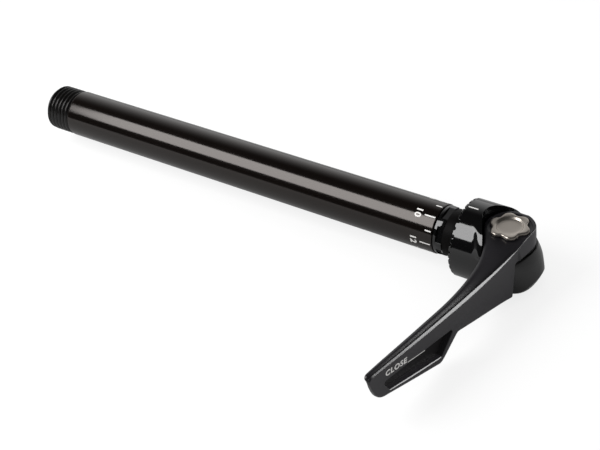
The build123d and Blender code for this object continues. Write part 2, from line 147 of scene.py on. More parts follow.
# The lever by length from the pin. In plan: the outer face at the ridge and at its foot, and the inner face.
OUTER_EDGE = [
    (-0.5, 6.75), (2.7, 6.3), (6.0, 5.85), (9.0, 5.35), (14.0, 4.75), (30.0, 2.75), (50.0, -0.35), (68.4, -3.6),
]
OUTER_FOOT = [
    (0.0, 7.4), (2.0, 7.15), (5.0, 6.65), (7.0, 6.2), (9.0, 5.75), (14.0, 4.85), (30.0, 2.75), (50.0, -0.35),
    (68.4, -3.6),
]
INNER_EDGE = [
    (1.6, -7.2), (6.0, -4.8), (10.0, -2.9), (16.0, -1.4), (24.0, -0.9), (33.0, -1.3), (45.0, -2.75), (53.4, -3.8),
    (66.0, -5.44), (67.3, -5.6), (68.0, -5.52), (68.3, -5.25), (68.4, -4.85),
]

# Heights: the lip over the inner face, the ridge over the outer one, the valley between them and the underside
LIP_TOP = [
    (-9.0, 8.35), (3.0, 8.15), (15.0, 6.95), (30.0, 6.4), (45.0, 6.5), (57.0, 6.7), (66.4, 6.82), (67.4, 6.7),
    (68.0, 6.4), (68.3, 6.0), (68.4, 5.7),
]
RIDGE_TOP = [
    (-9.0, 8.35), (-2.0, 8.3), (3.0, 7.9), (7.0, 6.9), (14.0, 6.25), (24.0, 6.25), (45.0, 6.5), (66.8, 6.78),
    (67.6, 6.7), (68.1, 6.4), (68.3, 6.0), (68.4, 5.65),
]
VALLEY = [
    (-9.0, 8.3), (2.0, 8.1), (4.5, 7.3), (8.0, 6.1), (12.0, 5.4), (24.0, 4.95), (40.0, 5.1), (58.0, 5.75),
    (66.0, 6.2), (67.4, 6.3), (68.0, 6.15), (68.4, 5.6),
]
UNDERSIDE = [
    (9.0, -8.2), (33.4, -2.83), (34.0, -2.85), (34.6, -3.2), (40.2, -7.85), (41.0, -8.3), (41.8, -8.45),
    (42.6, -8.2), (43.4, -7.98), (62.2, -3.45), (63.6, -3.2), (65.0, -2.55), (66.0, -1.6), (66.9, 0.0),
    (67.7, 2.2), (68.4, 4.6),
]

# Width of the bright land along the ridge, and how far the inner face draws in under the lip at the tip
LAND_WIDTH = [
    (-9.0, 0.12), (2.0, 0.14), (5.0, 0.24), (9.0, 0.42), (16.0, 0.72), (26.0, 1.05), (42.0, 1.0), (56.0, 0.85),
    (69.0, 0.75),
]
TIP_PULL = 1.3

# Lengths of the sections, close together where the outline turns
STATIONS = (
    [-EYE_R * math.cos(math.radians(a)) for a in (9, 22, 36, 50, 64, 77, 90)]
    + [1.6, 3.2, 4.6, 5.7, 6.25, 6.75, 7.6, 9.0, 10.8, 13.0, 15.5, 18.0, 21.0, 24.0, 27.0, 30.0, 32.4]
    + [33.4, 34.0, 34.6, 36.4, 38.4, 40.2, 41.0, 41.8, 42.6, 43.4, 45.4, 48.0, 51.0, 54.0, 57.0, 60.0]
    + [62.2, 63.6, 65.0, 66.0, 66.9, 67.5, 68.0, 68.3, 68.4]
)

# The window in the outer face: its corners as length and height, and its rings as margin and depth
WINDOW = [(35.2, 0.0), (45.0, 0.95), (64.0, 1.85), (61.6, -2.35), (41.1, -6.3)]
WINDOW_RINGS = [(-0.75, 1.6), (-0.5, 1.5), (-0.09, 0.14), (0.1, 0.0), (0.7, -0.45), (0.9, -1.2)]

# Printed ticks: width, cut of the corners and thickness to each side of the surface
TICK_WIDTH = 0.42
TICK_CORNER = 0.08
TICK_LIFT = 0.03


class Wire:
    """A node's output that takes part in Python sums. Each sum adds one Math node."""

    def __init__(self, shader, socket):
        self.shader = shader
        self.socket = socket

    def math(self, operation, *values):
        return self.shader.node("ShaderNodeMath", {"operation": operation}, dict(enumerate(values)))

    def __add__(self, other):
        return self.math("ADD", self, other)

    def __radd__(self, other):
        return self.math("ADD", other, self)

    def __sub__(self, other):
        return self.math("SUBTRACT", self, other)

    def __mul__(self, other):
        return self.math("MULTIPLY", self, other)


class Shader:
    """The node tree of one material or of the world."""

    def __init__(self, owner):
        owner.use_nodes = True
        self.tree = owner.node_tree
        self.tree.nodes.clear()

    def node(self, kind, settings=None, sockets=None, out=0):
        """Adds a node with its settings and its inputs. Gives one of its outputs."""
        made = self.tree.nodes.new(kind)
        for name, value in (settings or {}).items():
            setattr(made, name, value)
        for name, value in (sockets or {}).items():
            if isinstance(value, Wire):
                self.tree.links.new(value.socket, made.inputs[name])
            else:
                made.inputs[name].default_value = value
        return Wire(self, made.outputs[out] if made.outputs else None)

    def colour_between(self, share, first, second):
        """A mix of two colours. Among the Mix node's inputs the colours are 6 and 7, and output 2 is theirs."""
        return self.node("ShaderNodeMix", {"data_type": "RGBA"}, {0: share, 6: first, 7: second}, out=2)

    def surface_between(self, share, first, second):
        """A mix of two surfaces or of two parts of the world."""
        return self.node("ShaderNodeMixShader", None, {0: share, 1: first, 2: second})


def fresh():
    """Object mode with nothing selected."""
    if bpy.context.object and bpy.context.object.mode != "OBJECT":
        bpy.ops.object.mode_set(mode="OBJECT")
    bpy.ops.object.select_all(action="DESELECT")


def only(piece):
    """Object mode with one piece selected."""
    fresh()
    piece.select_set(True)
    bpy.context.view_layer.objects.active = piece


def at(x, y, z):
    """A point in metres."""
    return Vector((x, y, z)) * MM


def on_lever(length, out, height):
    """A point by its length along the closed lever, its distance out from the pin and its height."""
    return at(-length, PIN_Y - out, height)


def on_outer_face(length, height, lift):
    """A point over the lever's outer face, or under it where the lift is less than nothing."""
    return on_lever(length, curve_through(OUTER_EDGE, length) + lift, height)


def on_tube(radius, turn, y):
    """A point on a round surface, turned up from the lever's side."""
    return at(-radius * math.cos(turn), y, radius * math.sin(turn))


def arc(middle, radius, angles):
    """The points of a circle in a plan at angles in degrees."""
    turns = [math.radians(a) for a in angles]
    return [(middle[0] + radius * math.cos(t), middle[1] + radius * math.sin(t)) for t in turns]


def eased(x):
    """A smooth step from 0 to 1."""
    x = max(0, min(1, x))
    return x * x * (3 - 2 * x)


def curve_through(points, x):
    """The smooth curve through the points at x, level outside them."""
    if x <= points[0][0]:
        return points[0][1]
    if x >= points[-1][0]:
        return points[-1][1]
    i = max(k for k in range(len(points) - 1) if points[k][0] <= x)
    (x0, y0), (x1, y1) = points[i], points[i + 1]
    m0 = m1 = (y1 - y0) / (x1 - x0)
    if i > 0:
        m0 = (y1 - points[i - 1][1]) / (x1 - points[i - 1][0])
    if i + 2 < len(points):
        m1 = (points[i + 2][1] - y0) / (points[i + 2][0] - x0)
    t = (x - x0) / (x1 - x0)
    a, b = 2 * t**3 - 3 * t**2 + 1, t**3 - 2 * t**2 + t
    c, d = 3 * t**2 - 2 * t**3, t**3 - t**2
    return a * y0 + b * m0 * (x1 - x0) + c * y1 + d * m1 * (x1 - x0)


def line_through(points, x):
    """The straight runs through the points at x."""
    for (x0, y0), (x1, y1) in zip(points, points[1:]):
        if x <= x1:
            return y0 + (y1 - y0) * max(0, (x - x0) / (x1 - x0))
    return points[-1][1]


def inside_outline(x, y, outline):
    """Whether a point lies inside a closed outline."""
    crossings = 0
    for (x0, y0), (x1, y1) in zip(outline, outline[1:] + outline[:1]):
        if (y0 > y) != (y1 > y) and x < x0 + (y - y0) * (x1 - x0) / (y1 - y0):
            crossings += 1
    return crossings % 2 == 1


def lofted(name, rings, closed=True):
    """A skin extruded from ring to ring, each ring's points set to their places."""
    fresh()
    bpy.ops.mesh.primitive_circle_add(vertices=len(rings[0]), radius=MM, fill_type="NOTHING")
    piece = bpy.context.object
    piece.name = name
    bpy.ops.object.mode_set(mode="EDIT")
    bpy.ops.mesh.select_mode(type="VERT")
    skin = bmesh.from_edit_mesh(piece.data)
    skin.verts.ensure_lookup_table()
    for vertex, place in zip(list(skin.verts), rings[0]):
        vertex.co = place
    if not closed:
        skin.edges.ensure_lookup_table()
        for edge in list(skin.edges):
            if {v.index for v in edge.verts} == {0, len(rings[0]) - 1}:
                skin.edges.remove(edge)
    bmesh.update_edit_mesh(piece.data)
    bpy.ops.mesh.select_all(action="SELECT")
    if closed:
        bpy.ops.mesh.edge_face_add()
    for before, after in zip(rings, rings[1:]):
        bpy.ops.mesh.extrude_region()
        skin = bmesh.from_edit_mesh(piece.data)
        moved = [v for v in skin.verts if v.select]
        for vertex in moved:
            nearest = min(range(len(before)), key=lambda i: (before[i] - vertex.co).length_squared)
            vertex.co = after[nearest]
        bmesh.update_edit_mesh(piece.data)
    bpy.ops.mesh.select_all(action="SELECT")
    bpy.ops.mesh.normals_make_consistent(inside=False)
    bpy.ops.object.mode_set(mode="OBJECT")
    return piece


def turned(name, profile, steps, middle=(0, 0, 0), axis=(0, 1, 0)):
    """A piece turned about an axis: a chain of points extruded one from the other, then spun."""
    foot = Vector(middle) * MM
    places = [foot + Vector((r, 0, 0)) * MM + Vector(axis) * (h * MM) for r, h in profile]
    fresh()
    bpy.ops.mesh.primitive_plane_add(size=MM)
    piece = bpy.context.object
    piece.name = name
    bpy.ops.object.mode_set(mode="EDIT")
    bpy.ops.mesh.select_mode(type="VERT")
    bpy.ops.mesh.select_all(action="SELECT")
    bpy.ops.mesh.merge(type="CENTER")
    bpy.ops.transform.translate(value=places[0])
    for before, after in zip(places, places[1:]):
        bpy.ops.mesh.extrude_region_move(TRANSFORM_OT_translate={"value": after - before})
    bpy.ops.mesh.select_all(action="SELECT")
    bpy.ops.mesh.spin(steps=steps, angle=2 * math.pi, center=foot, axis=axis, use_auto_merge=True)
    bpy.ops.mesh.select_all(action="SELECT")
    bpy.ops.mesh.remove_doubles(threshold=WELD)
    bpy.ops.mesh.normals_make_consistent(inside=False)
    bpy.ops.object.mode_set(mode="OBJECT")
    return piece


def turned_upright(name, profile, steps, y=PIN_Y):
    """A piece turned about a line along Z, the pin's own if no other is given."""
    return turned(name, profile, steps, (0, y, 0), (0, 0, 1))


def prism(name, outline, low, high, to_place=at):
    """A plan filled at a low height and extruded to a high one."""
    return lofted(name, [[to_place(x, y, z) for x, y in outline] for z in (low, high)])


def joined(name, pieces):
    """Several pieces made one."""
    fresh()
    for piece in pieces:
        piece.select_set(True)
    bpy.context.view_layer.objects.active = pieces[0]
    bpy.ops.object.join()
    pieces[0].name = name
    return pieces[0]


def applied(piece, kind, **settings):
    """Adds a modifier and applies it."""
    only(piece)
    bpy.ops.object.modifier_add(type=kind)
    modifier = piece.modifiers[-1]
    for name, value in settings.items():
        setattr(modifier, name, value)
    bpy.ops.object.modifier_apply(modifier=modifier.name)


def cut(piece, cutter, operation="DIFFERENCE"):
    """Takes the cutter off the piece, or adds it, and removes the cutter."""
    applied(piece, "BOOLEAN", operation=operation, solver="EXACT", object=cutter)
    bpy.data.objects.remove(cutter)


def softened(piece, width, segments=3, angle=30):
    """Rounds the edges that turn by more than the angle."""
    applied(
        piece,
        "BEVEL",
        width=width * MM,
        segments=segments,
        limit_method="ANGLE",
        angle_limit=math.radians(angle),
        use_clamp_overlap=True,
    )


def smoothed(piece, angle):
    """Smooth shading over the edges that turn by less than the angle."""
    only(piece)
    bpy.ops.object.shade_smooth_by_angle(angle=math.radians(angle))


def dressed(piece, material, slot, body, *nodes):
    """Gives a piece its material, its body and the solids that it stands for."""
    piece.data.materials.clear()
    piece.data.materials.append(material)
    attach(piece, body)
    if nodes:
        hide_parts(*nodes)


def round_tube():
    """The tube with its rounded mouth, clip groove, thread core and end chamfers."""
    mouth_y, mouth_r = 7.5, 6.2
    groove_low, groove_high, groove_r = 10.9, 11.8, 6.6
    step_y, bore_r = 25.5, 5.0
    shoulder_y, core_y, core_r = 147.6, 148.5, 6.78
    profile = [
        (mouth_r, mouth_y),
        (SHAFT_R, mouth_y),
        (SHAFT_R, mouth_y + 0.5),
        (SHAFT_R, mouth_y + 1.1),
        (SHAFT_R, shoulder_y - 1.0),
        (SHAFT_R, shoulder_y - 0.4),
        (SHAFT_R, shoulder_y),
        (core_r + 0.04, core_y - 0.25),
        (core_r, core_y),
        (core_r, AXLE_END - 0.8),
        (6.1, AXLE_END),
        (bore_r + 0.45, AXLE_END),
        (bore_r, AXLE_END - 0.5),
        (bore_r, AXLE_END - 1.2),
        (bore_r, step_y + 0.7),
        (bore_r, step_y),
        (mouth_r, step_y),
        (mouth_r, groove_high),
        (groove_r, groove_high),
        (groove_r, groove_low),
        (mouth_r, groove_low),
        (mouth_r, mouth_y),
    ]
    tube = turned("axle_tube_turned", profile, steps=112)
    softened(tube, width=0.16)
    smoothed(tube, angle=40)
    return tube


def end_thread():
    """The thread: a ridge that winds round the core and dies away at both ends."""
    pitch, start_y, turns, steps = 1.5, 148.4, 5.9, 72
    foot_r, end_r, end_y = 6.76, 6.2, AXLE_END - 0.05
    run_outs = 13.2
    ridge = [
        (0.0, -0.62), (0.12, -0.56), (0.60, -0.16), (0.65, -0.08), (0.65, 0.08), (0.60, 0.16), (0.12, 0.56),
        (0.0, 0.62),
    ]
    rings = []
    count = int(turns * steps)
    for k in range(count + 1):
        turn = 2 * math.pi * k / steps
        swell = math.sin(0.5 * math.pi * min(1, run_outs * k / count, run_outs * (count - k) / count))
        ring = []
        for rise, along in ridge:
            y = start_y + pitch * k / steps + along
            r = min(foot_r + rise * swell, end_r + max(0.0, end_y - y))
            ring.append(at(r * math.cos(turn), y, r * math.sin(turn)))
        rings.append(ring)
    thread = lofted("axle_thread", rings, closed=False)
    smoothed(thread, angle=50)
    return thread


def pocketed_ring():
    """The index ring with its pockets, open towards the head."""
    low, high, bore_r, outer_r = 4.5, 7.3, 6.0, 7.3
    pocket_low, pocket_high, floor_r, past_r, half = 3.9, 6.45, 6.65, 8.5, 2.5
    profile = [(bore_r, low), (outer_r, low), (outer_r, high), (bore_r, high), (bore_r, low)]
    ring = turned("index_ring_turned", profile, steps=96)
    softened(ring, width=0.14)
    outline = [(floor_r, -half), (past_r, -half), (past_r, half), (floor_r, half)]
    for k in range(POCKETS):
        turn = Matrix.Rotation(math.radians(360 / POCKETS * k + POCKET_PHASE), 4, "Y")
        cut(ring, prism("pocket", outline, pocket_low, pocket_high, lambda x, z, y: turn @ at(x, y, z)))
    smoothed(ring, angle=30)
    return ring


def drawn_stem():
    """The stem: neck, plug with its seal groove, shank, stud and the slotted tongue the cam works in."""
    face_y, face_r, neck_low, neck_high, neck_r = -2.6, 6.5, -0.5, 4.5, 7.05
    plug_y, plug_r, groove_low, groove_high, groove_r = 10.4, 5.98, 8.2, 9.5, 4.95
    shank_y, shank_r, stud_y, stud_r, stud_chamfer = 25.5, 4.0, 31.5, 3.0, 0.5
    slot_half, slot_past, tongue_y = 3.35, 0.5, -2.7
    profile = [
        (0.0, face_y),
        (face_r, face_y),
        (face_r, neck_low),
        (neck_r, neck_low),
        (neck_r, neck_high),
        (plug_r, neck_high),
        (plug_r, groove_low),
        (groove_r, groove_low),
        (groove_r, groove_high),
        (plug_r, groove_high),
        (plug_r, plug_y),
        (shank_r, plug_y),
        (shank_r, shank_y),
        (stud_r, shank_y),
        (stud_r, stud_y - stud_chamfer),
        (stud_r - stud_chamfer, stud_y),
        (0.0, stud_y),
    ]
    stem = turned("draw_stem_turned", profile, steps=96)
    softened(stem, width=0.12, segments=2)
    tongue = [(TONGUE_HALF, tongue_y), (-TONGUE_HALF, tongue_y)]
    tongue += arc((0, CAM_Y), TONGUE_HALF, range(180, 361, 12))
    cut(stem, prism("tongue", tongue, TONGUE_LOW, TONGUE_HIGH), "UNION")
    round_slot = arc((0, CAM_Y), slot_half, range(0, 360, 15))
    slot = [(x + (CAM_THROW if x > 0 else 0), y) for x, y in round_slot]
    cut(stem, prism("cam_slot", slot, TONGUE_LOW - slot_past, TONGUE_HIGH + slot_past))
    smoothed(stem, angle=30)
    return stem


def recess_wall():
    """The plan of the wall that parts the barrel from the lever's eye."""
    eye_gap_r = 7.75
    straight = [(30.0, -27.0), (14.0, -14.8), (5.6, -8.4)]
    bend = [(-30.0, -13.0), (-16.4, -12.0), (-10.4, -10.5), (-6.4, -8.6), (-2.0, -6.2)]
    bend_places = [bend[-1][0] - 0.8 * k for k in range(19)]
    curved = [(x, curve_through(bend, x)) for x in bend_places]
    return straight + arc((0, PIN_Y), eye_gap_r, range(46, 104, 4)) + curved + [bend[0]]


def wall_distance(x, y, wall):
    """How far a point of the plan lies outside the wall; less than nothing inside it."""
    best, inside = math.inf, False
    for (x0, y0), (x1, y1) in zip(wall, wall[1:]):
        dx, dy = x1 - x0, y1 - y0
        t = max(0, min(1, ((x - x0) * dx + (y - y0) * dy) / (dx * dx + dy * dy)))
        away = math.hypot(x - x0 - t * dx, y - y0 - t * dy)
        if away < best:
            best, inside = away, dx * (y - y0) - dy * (x - x0) > 0
    return -best if inside else best


def root_room():
    """The room in the lever's root: a slight cone about the pin with a rounded shoulder."""
    below, arc_steps = -20, 12
    lean = math.tan(ROOT_LEAN)
    middle_z = ARM_Z - ROOT_SHOULDER
    middle_r = ROOT_R + (SPOTFACE_Z - middle_z) * lean - ROOT_SHOULDER / math.cos(ROOT_LEAN)
    profile = [(0, below), (ROOT_R + (SPOTFACE_Z - below) * lean, below)]
    for k in range(arc_steps + 1):
        a = ROOT_LEAN + (0.5 * math.pi - ROOT_LEAN) * k / arc_steps
        profile.append((middle_r + ROOT_SHOULDER * math.cos(a), middle_z + ROOT_SHOULDER * math.sin(a)))
    return turned_upright("root_room", profile + [(0, ARM_Z)], steps=160)


def front_plug():
    """The round front that the head keeps under the lever's eye."""
    heights = [-20, -12] + [-10 + 0.5 * k for k in range(26)] + [SPOTFACE_Z + 1]
    profile = [(curve_through(FRONT_RADII, z), z) for z in heights]
    return turned_upright("front_plug", [(0, heights[0])] + profile + [(0, heights[-1])], steps=200)


def sweep_room(wall):
    """The room that the lever's root sweeps through, round the front that stays."""
    below, past_x, past_y, overlap = -16, 30.0, -29.8, 0.01
    wall_end, heel_out, heel_start, heel_end = -6, 6.25, 6.0, 16.0
    outline = [(x, y) for x, y in reversed(wall) if x < wall_end] + [(0.0, PIN_Y)]
    for length in (heel_start, heel_end):
        x = -length * math.cos(SWING) + heel_out * math.sin(SWING)
        y = PIN_Y - length * math.sin(SWING) - heel_out * math.cos(SWING)
        outline.append((x, y))
    outline += [(heel_end, past_y), (-past_x, past_y)]
    room = prism("sweep_room", outline, below, SPOTFACE_Z + overlap)
    cut(room, front_plug())
    return room


def head_profile():
    """The head's outline from the neck's bore round the rim, the barrel and the dome to the nose."""
    bore_r, bore_y = 9.4, -2.95
    shoulder_r, dome_r = 5.5, 16.74
    nose_y = PIN_Y - 10.5
    shoulder = (BARREL_R - shoulder_r, PIN_Y - 3.2)
    dome = (0, nose_y + dome_r)
    rim = [(0.0, bore_y), (bore_r, bore_y), (bore_r, -0.25)]
    rim += [(9.65, 0.0), (10.85, 0.0), (11.2, -0.08), (11.48, -0.3)]
    barrel = [(BARREL_R, y) for y in (-0.65, -1.0, -1.3, -1.6, -2.6, -3.6, -4.2)]
    barrel += [(BARREL_R, -4.4 - 0.16 * k) for k in range(79)]
    rounded = arc(shoulder, shoulder_r, range(0, -57, -4))
    rounded += arc(dome, dome_r, [a - 90 for a in (32.8, 29, 25, 21, 17, 13, 9, 5, 2)])
    return rim + barrel + rounded + [(0.0, nose_y)]


def tooth_rim(head):
    """Presses the grooves between the teeth into the outer edge of the clamp face."""
    inner_r, low_y, depth, inset = 10.2, -1.1, 0.75, 0.028
    steepness, narrowing, run_y, run_r = 1.6, 0.3, 0.9, 0.6
    for vertex in head.data.vertices:
        x, y, z = vertex.co / MM
        r = math.hypot(x, z)
        if r > inner_r and y > low_y:
            groove = eased(steepness * math.cos(RIM_TEETH * math.atan2(z, x)) - narrowing)
            near = eased((y - low_y) / run_y) * eased((r - inner_r) / run_r)
            vertex.co.y -= depth * groove * near * MM
            vertex.co.x *= 1 - inset * groove * near
            vertex.co.z *= 1 - inset * groove * near


def flare_barrel(head, wall):
    """Swells the barrel's upper side towards the wall, on the lever's side."""
    swell, reach, run, rim_y = 0.6, 3.0, 2.5, -1
    top_z, side_x, rise, fade = 11.2, -1.5, 1.5, 3.0
    for vertex in head.data.vertices:
        x, y, z = vertex.co / MM
        r = math.hypot(x, z)
        if r < BARREL_R - 0.05 or z < SPOTFACE_Z or y > rim_y:
            continue
        away = max(0.0, wall_distance(x, y, wall))
        flare = swell * eased((reach - away) / run)
        flare *= eased((z - SPOTFACE_Z) / rise) * eased((top_z - z) / fade) * eased((side_x - x) / fade)
        grow = (r + flare) / r
        vertex.co.x *= grow
        vertex.co.z *= grow


def domed_head():
    """The head: barrel with its toothed rim, dome, and the room for the lever's eye and root."""
    past_x, past_y, past_z = 30.0, -40.0, SPOTFACE_Z + 20
    tongue_y, side_gap, end_gap, flat_gap = -2.5, 0.05, 0.3, 0.05
    head = turned("head_housing_turned", head_profile(), steps=360)
    wall = recess_wall()
    flare_barrel(head, wall)
    tooth_rim(head)
    arm_room = wall[1:] + [(-past_x, past_y), (past_x, past_y), wall[0]]
    cut(head, prism("arm_room", arm_room, SPOTFACE_Z, past_z))
    cut(head, sweep_room(wall))
    for name, radius, low, high in HEAD_HOLES:
        hole = [(0, low), (radius, low), (radius, high), (0, high)]
        cut(head, turned_upright(name, hole, steps=64))
    tongue = [(TONGUE_HALF + side_gap, tongue_y), (-TONGUE_HALF - side_gap, tongue_y)]
    tongue += arc((0, CAM_Y), TONGUE_HALF + end_gap, range(180, 361, 12))
    cut(head, prism("tongue_room", tongue, TONGUE_LOW - flat_gap, TONGUE_HIGH + flat_gap))
    smoothed(head, angle=32)
    return head


def lever_section(length):
    """The lever's section at a length, each point as its distance out and its height.

    The factors in the points are shares of the measures named before them.
    """
    circle = math.sqrt(max(0.01, EYE_R**2 - length**2))
    outer = curve_through(OUTER_EDGE, length)
    if length < -2.5:
        outer = circle
    elif length < 2.0:
        outer = min(circle, outer)
    foot = circle if length < 1.0 else curve_through(OUTER_FOOT, length)
    inner = -circle if length < 2.0 else curve_through(INNER_EDGE, length)
    ridge = curve_through(RIDGE_TOP, length)
    lip = curve_through(LIP_TOP, length)
    floor = curve_through(VALLEY, length)
    low = ARM_Z if length < 6.5 else line_through(UNDERSIDE, length)
    width = outer - inner
    tall = min(ridge, lip) - low

    # How far the edges round off, across and upwards, and the land that leans in from the outer face
    edge = min(0.5, 0.16 * width)
    heel = min(0.5, 0.12 * tall)
    land = min(curve_through(LAND_WIDTH, length), 0.3 * width)
    land_in, land_down, trim = 0.57 * land, 0.82 * land, 0.03 * land
    land_foot = ridge - land_down

    # The valley's deepest line, the lip's slant and its brow, and the draw of the inner face at the tip
    deepest = outer - land_in - 0.3 * edge
    slant = eased(length / 6)
    brow = inner + (1.7 + 0.3 * slant) * edge
    run = deepest - 0.1 * edge - brow
    pull = min(TIP_PULL * eased((length - 60) / 8), 0.45 * width)

    outer_face = [
        (foot - edge, low),
        (foot - 0.22 * edge, low + 0.22 * heel),
        (foot, low + heel),
        (foot + 0.35 * (outer - foot), low + 0.35 * tall),
        (foot + 0.65 * (outer - foot), low + 0.65 * tall),
        (outer, land_foot - 0.1 * min(tall, 6.0)),
        (outer, land_foot - 0.12 * edge),
    ]
    ridge_and_valley = [
        (outer - trim, land_foot + trim),
        (outer - land_in + trim, ridge - trim),
        (outer - land_in - 0.08 * edge, ridge - 0.12 * edge),
        (deepest + 0.04 * edge, floor + 0.35 * (ridge - floor)),
        (deepest - 0.1 * edge, floor),
        (brow + 0.8 * run, floor + 0.17 * (lip - floor)),
        (brow + 0.4 * run, floor + 0.6 * (lip - floor)),
    ]
    lip_edge = [
        (brow, lip - 0.05 * (lip - floor) * (1 - slant)),
        (inner + edge, lip - 0.22 * edge * slant),
        (inner + (0.14 - 0.08 * slant) * edge, lip - (0.2 + 0.24 * slant) * edge),
        (inner + 0.2 * pull, lip - (1.0 - 0.3 * slant) * edge),
    ]
    inner_face = [
        (inner + 0.6 * pull, low + 0.65 * tall),
        (inner + 0.9 * pull, low + 0.35 * tall),
        (inner + pull, low + heel),
        (inner + pull + 0.22 * edge, low + 0.22 * heel),
        (inner + pull + edge * (1 - 0.6 * pull / TIP_PULL), low),
        (0.5 * (inner + pull + foot), low),
    ]
    return outer_face + ridge_and_valley + lip_edge + inner_face


def window_ring(margin, depth):
    """The window's outline with round corners, grown by a margin, at a depth under the outer face."""
    corner_r, least_r = 0.9, 0.25
    corners = [Vector(p) for p in WINDOW]
    radius = max(least_r, corner_r + margin)
    ring = []
    for i, corner in enumerate(corners):
        before = (corners[i - 1] - corner).normalized()
        after = (corners[(i + 1) % len(corners)] - corner).normalized()
        half = 0.5 * before.angle(after)
        bisector = (before + after).normalized()
        moved = corner - bisector * (margin / math.sin(half))
        reach = radius / math.tan(half)
        middle = moved + bisector * (radius / math.sin(half))
        start, end = moved + before * reach - middle, moved + after * reach - middle
        for share in (0, 0.2, 0.4, 0.6, 0.8, 1):
            spoke = (start * (1 - share) + end * share).normalized() * radius
            length, height = middle + spoke
            ring.append(on_outer_face(length, height, -depth))
    return ring


def lever_blade():
    """The lever: sections from the eye to the tip, subdivided, then the cuts for root, disc and window."""
    recess_r, past_z = 6.6, 10
    rings = [[on_lever(length, out, height) for out, height in lever_section(length)] for length in STATIONS]
    lever = lofted("lever_blade", rings)
    applied(lever, "SUBSURF", levels=2, render_levels=2)
    cut(lever, root_room())
    recess = [
        (0, DISH_Z),
        (recess_r - 0.6, DISH_Z),
        (recess_r - 0.35, DISH_Z + 0.08),
        (recess_r - 0.3, DISH_Z + 0.2),
        (recess_r, DISH_Z + 0.8),
        (recess_r, past_z),
        (0, past_z),
    ]
    cut(lever, turned_upright("disc_recess", recess, steps=128))
    cut(lever, lofted("window", [window_ring(margin, depth) for margin, depth in WINDOW_RINGS]))
    smoothed(lever, angle=28)
    return lever


def darken_window(lever, material):
    """Draws the window's floor and all its walls but the lower one darker and duller than the rest of the lever.
    """
    shallow, deep, upward = 0.3, 1.7, 0.5
    lever.data.materials.append(material)
    for face in lever.data.polygons:
        x, y, z = face.center / MM
        depth = curve_through(OUTER_EDGE, -x) - (PIN_Y - y)
        if shallow < depth < deep and face.normal.z < upward and inside_outline(-x, z, WINDOW):
            face.material_index = 1


def printed_mark(name, radius, degrees, start, end):
    """A thin raised tick along the axle on a round surface."""
    half = 0.5 * TICK_WIDTH / radius
    turn = math.radians(degrees)
    corner = 0.3 * half
    outline = [
        (turn - half, start + TICK_CORNER),
        (turn - corner, start),
        (turn + corner, start),
        (turn + half, start + TICK_CORNER),
        (turn + half, end - TICK_CORNER),
        (turn + corner, end),
        (turn - corner, end),
        (turn - half, end - TICK_CORNER),
    ]
    rings = [[on_tube(radius + lift, a, y) for a, y in outline] for lift in (-TICK_LIFT, TICK_LIFT)]
    return lofted(name, rings)


def lettering(name, words, width, height):
    """Words as a flat mesh, scaled to a width and a height about their middle, with a little thickness."""
    top, bottom = 0.05, -0.02
    fresh()
    bpy.ops.object.text_add()
    piece = bpy.context.object
    piece.name = name
    piece.data.body = words
    piece.data.offset = 0.029
    piece.data.space_character = 1.12
    piece.data.extrude = 0.01
    piece.data.resolution_u = 4
    bpy.ops.object.convert(target="MESH")
    places = [v.co.copy() for v in piece.data.vertices]
    low = Vector([min(p[i] for p in places) for i in range(3)])
    high = Vector([max(p[i] for p in places) for i in range(3)])
    for vertex in piece.data.vertices:
        vertex.co.x = ((vertex.co.x - low.x) / (high.x - low.x) - 0.5) * width
        vertex.co.y = ((vertex.co.y - low.y) / (high.y - low.y) - 0.5) * height
        vertex.co.z = top if vertex.co.z > 0 else bottom
    return piece


def scale_marks():
    """The scale round the tube's mouth: long ticks with even numbers, short ticks between."""
    count, first, facing, facing_at = 11, 2, 10, 60.3
    tick_start, short_end, long_end = 7.95, 9.95, 11.45
    number_y, number_height, one_digit, two_digits = 13.45, 2.1, 1.25, 2.6
    marks = []
    for number in range(first, first + count):
        degrees = facing_at - 360 / count * (number - facing)
        even = number % 2 == 0
        tick_end = long_end if even else short_end
        marks.append(printed_mark(f"tick_{number}", SHAFT_R, degrees, tick_start, tick_end))
        if not even:
            continue
        width = two_digits if number > 9 else one_digit
        numeral = lettering(f"number_{number}", str(number), width, number_height)
        for vertex in numeral.data.vertices:
            u, v, lift = vertex.co
            vertex.co = on_tube(SHAFT_R + lift, math.radians(degrees) - u / SHAFT_R, number_y - v)
        marks.append(numeral)
    return marks


def head_tick():
    """The one tick on the head that the scale is read against."""
    sunk, degrees, start, end = 0.026, 87.4, -4.3, -1.15
    return printed_mark("head_mark", BARREL_R - sunk, degrees, start, end)


def lever_word():
    """The word on the lever's outer face, which is print, and the line after it, which is a painted highlight: a
    white strip along the window's upper rim that stands for the light on its chamfer.
    """
    middle, height, slope, lean = 58.6, 3.62, 0.125, 0.12
    highlight_low, highlight_high = -0.03, 0.035
    word = lettering("close_word", "CLOSE", width=8.0, height=1.8)
    for vertex in word.data.vertices:
        u, v, lift = vertex.co
        vertex.co = on_outer_face(middle - u - lean * v, height - slope * u + v, lift)
    # Painted highlight: a white strip along the window's upper rim, turning down a little at its corner, in place
    # of the light caught on the rim's chamfer
    highlight_track = [(54.3, 2.12), (51.0, 1.66), (47.7, 1.22), (47.6, 1.08), (47.7, 0.98), (51.0, 1.42), (54.3, 1.86)]
    return [word, prism("painted_rim_highlight", highlight_track, highlight_low, highlight_high, on_outer_face)]


